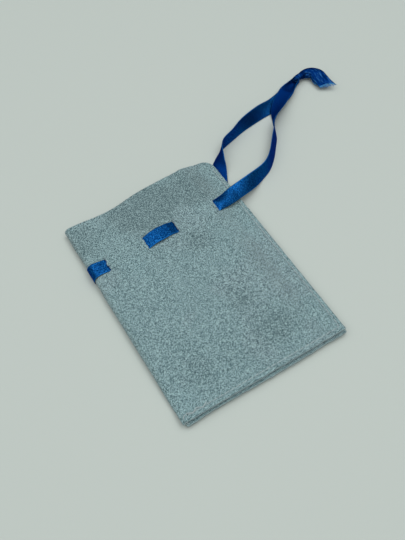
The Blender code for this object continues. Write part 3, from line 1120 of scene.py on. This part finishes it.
def row_station(across, is_front):
    """Centre, half-width and gather of the ribbon where it follows a panel."""
    along = slit_row(across)
    _, away = nearest_slit(across)
    side = copysign(1, away)
    if is_front:
        height = front_middle(across, along) + ribbon_offset(across, side, FRONT_LIP_OUT)
        height += ribbon_arch(across)
    else:
        height = back_middle(across, along) - ribbon_offset(across, side, BACK_LIP_OUT)
        height = max(height, RIBBON_LOWEST)
    gather = ease(1 - abs(away) / RIBBON_GATHERS_OVER)
    return world(across, along, height), Vector((0, slit_width(across) / 2, 0)), gather


def fold_stations(count):
    """The ribbon round the outside of the fold."""
    along = slit_row(0)
    spring = fold_spring(along)
    bottom, radius = fold_round(spring, along)
    reach = radius + SUEDE_THICKNESS / 2 + RIBBON_SEAT
    half = Vector((0, slit_width(0) / 2, 0))
    stations = []
    for step in range(count + 1):
        turn = pi * step / count
        out = reach + ribbon_arch(spring) * (1 - step / count) ** 2
        place = world(spring - out * sin(turn), along, bottom + radius + out * cos(turn))
        stations.append((place, half, 0.0))
    return spring, stations


def leg_stations(route, start_width, end_width, samples):
    """Centres, half-widths and gather along a free stretch that rolls about its own line."""
    path = smooth_path([Vector(point) for point in route], samples)
    places = [world(*point[:3]) for point in path]
    gone = lengths(places)
    stations = []
    for point, centre, run, start in zip(path, places, directions(places), gone):
        side = UP.cross(run).normalized()
        roll = radians(point[3])
        across = side * cos(roll) + run.cross(side) * sin(roll)
        wide = min(
            narrow + (RIBBON_WIDTH - narrow) * ease(away / RIBBON_WIDENS_OVER)
            for narrow, away in ((start_width, start), (end_width, gone[-1] - start))
        )
        half = across * wide / 2
        keep_above(abs(half.z) + RIBBON_THICKNESS / 2 + GROUND_CLEARANCE, centre)
        stations.append((centre, half, 0.0))
    return stations


def arc_section(share, wide):
    """Where a point of a curled ribbon lies: beside its middle, and over its chord."""
    tight = min(wide / RIBBON_WIDTH, 0.9995)
    turn = sqrt(6 * (1 - tight)) * (1 + 0.12 * (1 - tight))
    radius = RIBBON_WIDTH / 2 / turn
    beside = radius * sin(turn * share)
    over = radius * (cos(turn * share) - cos(turn))
    return beside, over


RIBBON_COLUMNS = 14
PLEATS = 2.5
PLEAT_DEPTH = 0.00012

# A cut end: how far its slant, its torn line and its hollow reach
SLANT_REACH = 0.006
TORN_REACH = 0.0025
TORN_DEPTH = 0.0007
HOLLOW_DEPTH = 0.0006
FRAYED_OVER = 0.0022


def ribbon_form(stations, curl, slant=0.0):
    """A ribbon along its stations, with its own measures as UV map."""
    form, column, row = sheet_form(RIBBON_COLUMNS, len(stations) - 1)
    centres = [centre for centre, _, _ in stations]
    gone = lengths(centres)
    runs = directions(centres)
    weave = form.loops.layers.uv.new("ribbon")
    loose = form.verts.layers.float.new("frayed")
    for vert in form.verts:
        number = vert[row]
        share = 2 * vert[column] / RIBBON_COLUMNS - 1
        centre, half, gather = stations[number]
        run = runs[number]
        beside_way = half.normalized()
        over_way = run.cross(beside_way).normalized()
        arched, over = arc_section(share, 2 * half.length)
        free = abs(curl) * (1 - gather)
        beside = half.length * share * (1 - free) + arched * free
        over *= curl * (1 - gather)
        over += PLEAT_DEPTH * gather * (1 - gather) * cos(PLEATS * pi * share + 0.7)
        if slant:
            left = gone[-1] - gone[number]
            onward = slant * share / 2 * ease(1 - left / SLANT_REACH)
            torn = TORN_DEPTH * wave(share * RIBBON_WIDTH / 2, 0.0, 0.0011, 41.5)
            torn = (torn - HOLLOW_DEPTH * (1 - share**2)) * ease(1 - left / TORN_REACH)
            centre = centre + run * (onward + torn)
            vert[loose] = ease(1 - left / FRAYED_OVER)
        place = centre + beside_way * beside + over_way * over
        keep_above(RIBBON_LOWEST, place)
        vert.co = place
    for face in form.faces:
        for loop in face.loops:
            share = 2 * loop.vert[column] / RIBBON_COLUMNS - 1
            loop[weave].uv = (share * RIBBON_WIDTH / 2, gone[loop.vert[row]])
    return form


def row_end(is_front):
    """Where the ribbon leaves a panel beyond the last slit, as a route point."""
    across = SLITS[-1][0] + SLIT_OPENING
    centre, _, _ = row_station(across, is_front)
    return (across, slit_row(across), centre.z, 0)


def through_slit(is_front):
    """The ribbon from under the suede out through the last slit."""
    last_slit = SLITS[-1][0]
    row = spread(last_slit - LEG_START, last_slit + SLIT_OPENING, 12)
    return [row_station(across, is_front) for across in row]


def add_ribbon_piece(name, form, look, turned=False):
    """A stretch of ribbon with its satin on one side; turned brings it to the other."""
    if turned:
        bmesh.ops.reverse_faces(form, faces=form.faces)
    satin = kept_finish("ribbon_satin", satin_finish, look)
    reverse = kept_finish("ribbon_reverse", reverse_finish, look)
    piece = finished(name, form, [satin, reverse], ["ribbon"])
    thicken(piece, RIBBON_THICKNESS, back_material=1)
    return piece


def add_leg(name, is_front, route, neck, look):
    """A free leg of the ribbon, from inside the pouch to the knot, and its centre line."""
    start_width = slit_width(SLITS[-1][0] + SLIT_OPENING)
    free = leg_stations((row_end(is_front), *route, neck), start_width, KNOT_NECK_WIDTH, 12)
    stations = through_slit(is_front) + free
    leg = add_ribbon_piece(name, ribbon_form(stations, 1.0), look, turned=is_front)
    return leg, [centre for centre, _, _ in stations]


KNOT_AXIS = Vector((cos(KNOT_TURN), sin(KNOT_TURN), 0))
KNOT_BESIDE = Vector((-KNOT_AXIS.y, KNOT_AXIS.x, 0))
KNOT_PLEATS = ((0.06, 5, 2.2), (0.03, 9, -3))
CORE_SHARE = 0.9


def knot_core_form():
    """The gathered ribbon inside the knot: a pleated roll, closed at both ends."""
    turns, steps = 40, 26
    form, column, row = sheet_form(turns, steps)
    centre = world(*KNOT_CENTRE)
    weave = form.loops.layers.uv.new("ribbon")
    for vert in form.verts:
        along = 2 * vert[row] / steps - 1
        turn = 2 * pi * vert[column] / turns
        pleats = [deep * cos(count * turn + bend * along) for deep, count, bend in KNOT_PLEATS]
        out = sqrt(max(1 - abs(along) ** 4, 0.0)) * sum(pleats, 1) * CORE_SHARE
        vert.co = centre + KNOT_AXIS * along * KNOT_LENGTH / 2
        vert.co += KNOT_BESIDE * cos(turn) * out * KNOT_WIDTH / 2
        vert.co += UP * sin(turn) * out * KNOT_HEIGHT / 2
    for face in form.faces:
        for loop in face.loops:
            loop[weave].uv = (
                (loop.vert[column] / turns - 0.5) * 0.004,
                loop.vert[row] / steps * KNOT_LENGTH,
            )
    bmesh.ops.remove_doubles(form, verts=form.verts, dist=0.00001)
    bmesh.ops.recalc_face_normals(form, faces=form.faces)
    return form


def wrap_stations():
    """The ribbon's full width wound once round the gathered legs, tightest at its borders."""
    centre = world(*KNOT_CENTRE)
    stations = []
    for step in range(WRAP_STEPS + 1):
        share = step / WRAP_STEPS
        turn = radians(WRAP_START + WRAP_TURN * share)
        tuck = ease(share / WRAP_TUCK_SHARE) * ease((1 - share) / WRAP_TUCK_SHARE)
        crease = WRAP_CREASE * sin(5 * turn + 1.0)
        reach = WRAP_RADIUS + WRAP_TUCK * tuck + WRAP_GROWTH * share + crease
        out = KNOT_BESIDE * cos(turn) + UP * sin(turn)
        place = centre + KNOT_AXIS * (WRAP_PITCH * (share - 0.5)) + out * reach
        lean = (KNOT_AXIS - 0.05 * out).normalized()
        stations.append((place, lean * WRAP_WIDTH / 2, 0.0))
    return stations


YARNS = 110
YARN_RADIUS = 0.00004


def frayed_lines(stations, draw):
    """Loose yarns out of a ribbon's cut end."""
    centre, half, _ = stations[-1]
    run = (centre - stations[-2][0]).normalized()
    over = run.cross(half.normalized())
    lines = []
    for _ in range(YARNS):
        share = draw.uniform(-1, 1)
        root = centre + half * share + run * (TAIL_SLANT * share / 2 - HOLLOW_DEPTH)
        root += over * draw.uniform(-1, 1) * RIBBON_THICKNESS / 2
        lean = half.normalized() * draw.gauss(0, 0.28) + over * draw.gauss(0, 0.22)
        reach = 0.0006 + draw.uniform(0.1, 1.0) * 0.0010
        middle = root + (run + lean * 0.4) * reach * 0.55
        tip = middle + (run + lean * 1.6) * reach * 0.45
        keep_above(GROUND_CLEARANCE, middle, tip)
        lines.append([(root, 1.0), (middle, 1.0), (tip, 0.5)])
    return lines


class PouchLegsOperator(bpy.types.Operator):
    """Add the knot, the ribbon's ends and the two free legs of the ribbon"""

    bl_idname = "pouch.add_legs"
    bl_label = "Ribbon legs and knot"

    def execute(self, context):
        look = context.scene.pouch_satin
        reverse = kept_finish("ribbon_reverse", reverse_finish, look)
        yarn = kept_finish("loose_yarn", yarn_finish, look)
        core = finished("knot_core", knot_core_form(), [reverse], ["ribbon"])
        wrap = add_ribbon_piece("knot_wrap", ribbon_form(wrap_stations(), 0.75), look)
        draw = random.Random(19)
        lines = []
        for name, route in (("ribbon_end_upper", FRONT_TAIL), ("ribbon_end_lower", BACK_TAIL)):
            stations = leg_stations(route, KNOT_NECK_WIDTH, RIBBON_WIDTH, 10)
            add_ribbon_piece(name, ribbon_form(stations, 0.8, TAIL_SLANT), look)
            lines += frayed_lines(stations, draw)
        fringe = threads_mesh("ribbon_end_fringe", lines, YARN_RADIUS)
        finished("ribbon_end_fringe", fringe, [yarn], ["ribbon"])
        front, front_path = add_leg("ribbon_front_leg", True, FRONT_LEG, FRONT_NECK, look)
        back, back_path = add_leg("ribbon_back_leg", False, BACK_LEG, BACK_NECK, look)
        return {"FINISHED"}


class PouchRibbonOperator(bpy.types.Operator):
    """Add the ribbon that is threaded through the slits"""

    bl_idname = "pouch.add_ribbon"
    bl_label = "Threaded ribbon"

    def execute(self, context):
        look = context.scene.pouch_satin
        spring, fold = fold_stations(24)
        row = spread(SLITS[-1][0] - LEG_START, spring, 170)
        front = [row_station(across, True) for across in row]
        back = [row_station(across, False) for across in row]
        form = ribbon_form(front + fold + back[::-1], 0.0)
        add_ribbon_piece("ribbon_threaded", form, look)
        return {"FINISHED"}


# Sewing thread


POINTS_PER_STITCH = 20
PLY_SWING = THREAD_DIAMETER / 4
PLY_RADIUS = THREAD_DIAMETER * 0.36
STITCH_SLANT = 0.00010
STITCH_DIVE_SHARE = 0.15
STITCH_DIVE = 0.0005
STITCH_SEAT = 0.00006
STITCH_RISE = 0.00008

TACKS = 4
TACK_LENGTH = STITCH * 0.82
TACK_ASIDE = 0.0003
TACK_ZIGZAG = 0.0006
TACK_RISE = 0.00030
TACK_THICKNESS = 1.5


def stitch_line(is_front, ply, twist):
    """One ply of a sewing thread that dives into a hole after each stitch."""
    line = []
    for step in range(STITCHES * POINTS_PER_STITCH + 1):
        gone = SEAM_WHOLE * step / (STITCHES * POINTS_PER_STITCH)
        across, along, run = seam_place(gone)
        share = (gone / STITCH) % 1
        risen = ease(min(share, 1 - share) / STITCH_DIVE_SHARE)
        turn = 2 * pi * (gone / twist + ply / 2)
        beside = STITCH_SLANT * (2 * share - 1) * risen + PLY_SWING * cos(turn)
        over = (STITCH_DIVE + STITCH_SEAT) * risen - STITCH_DIVE
        over += STITCH_RISE * sin(pi * share) + PLY_SWING * sin(turn)
        across_at = across - run[1] * beside
        along_at = along + run[0] * beside
        press = seam_press(across, along) * 0.5
        if is_front:
            height = front_middle(across, along) + SUEDE_THICKNESS / 2 - press + over
        else:
            height = back_middle(across, along) - SUEDE_THICKNESS / 2 + press - over
            height = max(height, GROUND_CLEARANCE + PLY_SWING)
        line.append((world(across_at, along_at, height), 1.0))
    return line


def tack_lines(twist):
    """The last stitches sewn back over themselves; the two cut thread ends are made by loose_end.
    """
    lines = []
    for ply, tack in itertools.product((0, 1), range(TACKS)):
        line = []
        for step in range(POINTS_PER_STITCH + 1):
            share = step / POINTS_PER_STITCH
            gone = SEAM_WHOLE - (tack + share) * TACK_LENGTH
            across, along, _ = seam_place(gone)
            zigzag = TACK_ZIGZAG * (1 if tack % 2 else -1) * (2 * share - 1)
            turn = 2 * pi * (gone / twist + ply / 2)
            over = STITCH_SEAT + TACK_RISE * sin(pi * share) + PLY_SWING * sin(turn)
            height = front_middle(across, along) + SUEDE_THICKNESS / 2 + over
            beside = TACK_ASIDE + zigzag + PLY_SWING * cos(turn)
            line.append((world(across, along + beside, height), TACK_THICKNESS))
        lines.append(line)
    return lines


def loose_end(route):
    """A cut end of thread along a few places of the pouch's own measures."""
    places = smooth_path([Vector(place) for place in route], 6)
    return [(world(*place), TACK_THICKNESS) for place in places]


LOOSE_ENDS = (
    (
        (0.0034, 0.0020, 0.0034),
        (0.0024, 0.0012, 0.0040),
        (0.0016, 0.0002, 0.0036),
        (0.0020, -0.0008, 0.0026),
    ),
    (
        (0.0034, 0.0024, 0.0034),
        (0.0022, 0.0026, 0.0041),
        (0.0012, 0.0018, 0.0040),
        (0.0010, 0.0006, 0.0034),
    ),
)


class PouchThreadOperator(bpy.types.Operator):
    """Add the two sewing threads of the seam"""

    bl_idname = "pouch.add_threads"
    bl_label = "Sewing threads"

    def execute(self, context):
        look = context.scene.pouch_thread
        finish = kept_finish("sewing_thread", thread_finish, look)
        top = [stitch_line(True, ply, look.twist) for ply in (0, 1)]
        top += tack_lines(look.twist) + [loose_end(route) for route in LOOSE_ENDS]
        under = [stitch_line(False, ply, look.twist) for ply in (0, 1)]
        for name, lines, node in (
            ("needle_stitches", top, "needle_thread"),
            ("bobbin_stitches", under, "bobbin_thread"),
        ):
            form = threads_mesh(name, lines, PLY_RADIUS)
            finished(name, form, [finish], [node])
        return {"FINISHED"}


# Stage


def add_camera():
    """The camera that took the photograph."""
    forward = Vector(CAMERA_FORWARD).normalized()
    level = forward.cross(UP).normalized()
    above = level.cross(forward)
    right = level * cos(CAMERA_ROLL) + above * sin(CAMERA_ROLL)
    up = above * cos(CAMERA_ROLL) - level * sin(CAMERA_ROLL)
    data = bpy.data.cameras.new("camera")
    data.lens = CAMERA_LENS
    data.sensor_width = CAMERA_SENSOR
    data.clip_start = 0.01
    camera = linked("camera", data)
    turn = Matrix((right, up, -forward)).transposed().to_4x4()
    camera.matrix_world = Matrix.Translation(CAMERA_PLACE) @ turn
    bpy.context.scene.camera = camera


def add_lamp(name, toward, size, power):
    """A soft square lamp that faces the pouch."""
    data = bpy.data.lights.new(name, "AREA")
    data.shape = "RECTANGLE"
    data.size, data.size_y = size
    data.energy = power
    data.specular_factor = LAMP_GLOSS
    lamp = linked(name, data)
    way = Vector(toward).normalized()
    lamp.location = way * LAMP_DISTANCE
    lamp.rotation_mode = "QUATERNION"
    lamp.rotation_quaternion = way.to_track_quat("Z", "Y")


class PouchStageOperator(bpy.types.Operator):
    """Add the camera, the floor and the light"""

    bl_idname = "pouch.add_stage"
    bl_label = "Stage"

    def execute(self, context):
        look = context.scene.pouch_stage
        add_camera()
        form = bmesh.new()
        bmesh.ops.create_grid(form, x_segments=1, y_segments=1, size=4)
        floor = meshed("floor", form)
        floor.location.z = -GROUND_CLEARANCE / 10
        floor.data.materials.append(kept_finish("floor", floor_finish, look))
        add_lamp("key", *KEY_LAMP, look.key)
        add_lamp("leg_side", *LEG_LAMP, look.leg_side)
        world_light = bpy.data.worlds.new("studio")
        world_light.use_nodes = True
        sky = world_light.node_tree.nodes["Background"]
        sky.inputs["Color"].default_value = SKY_COLOUR
        sky.inputs["Strength"].default_value = look.sky
        context.scene.world = world_light
        context.scene.view_settings.view_transform = "Standard"
        return {"FINISHED"}


class PouchPanel(bpy.types.Panel):
    """Lists the steps in the sidebar."""

    bl_idname = "VIEW3D_PT_pouch"
    bl_label = "Pouch"
    bl_space_type = "VIEW_3D"
    bl_region_type = "UI"
    bl_category = "Pouch"

    def draw(self, context):
        for name in ("pouch_suede", "pouch_satin", "pouch_thread", "pouch_stage"):
            settings = getattr(context.scene, name)
            for prop in settings.bl_rna.properties:
                if prop.identifier not in {"rna_type", "name"}:
                    self.layout.prop(settings, prop.identifier)
        for step in STEPS:
            self.layout.operator(step.bl_idname)


GROUPS = {
    "pouch_suede": PouchSuede,
    "pouch_satin": PouchSatin,
    "pouch_thread": PouchThread,
    "pouch_stage": PouchStage,
}
STEPS = (
    PouchStageOperator,
    PouchLegsOperator,
    PouchRibbonOperator,
    PouchSuedeOperator,
    PouchThreadOperator,
    PouchFibresOperator,
)


def register():
    for made in (*GROUPS.values(), *STEPS, PouchPanel):
        bpy.utils.register_class(made)
    for name, group in GROUPS.items():
        setattr(bpy.types.Scene, name, bpy.props.PointerProperty(type=group))


def unregister():
    for name in GROUPS:
        delattr(bpy.types.Scene, name)
    for made in reversed((*GROUPS.values(), *STEPS, PouchPanel)):
        bpy.utils.unregister_class(made)


def main():
    register()
    for step in STEPS:
        group, name = step.bl_idname.split(".")
        getattr(getattr(bpy.ops, group), name)()


if __name__ == "__main__":
    main()
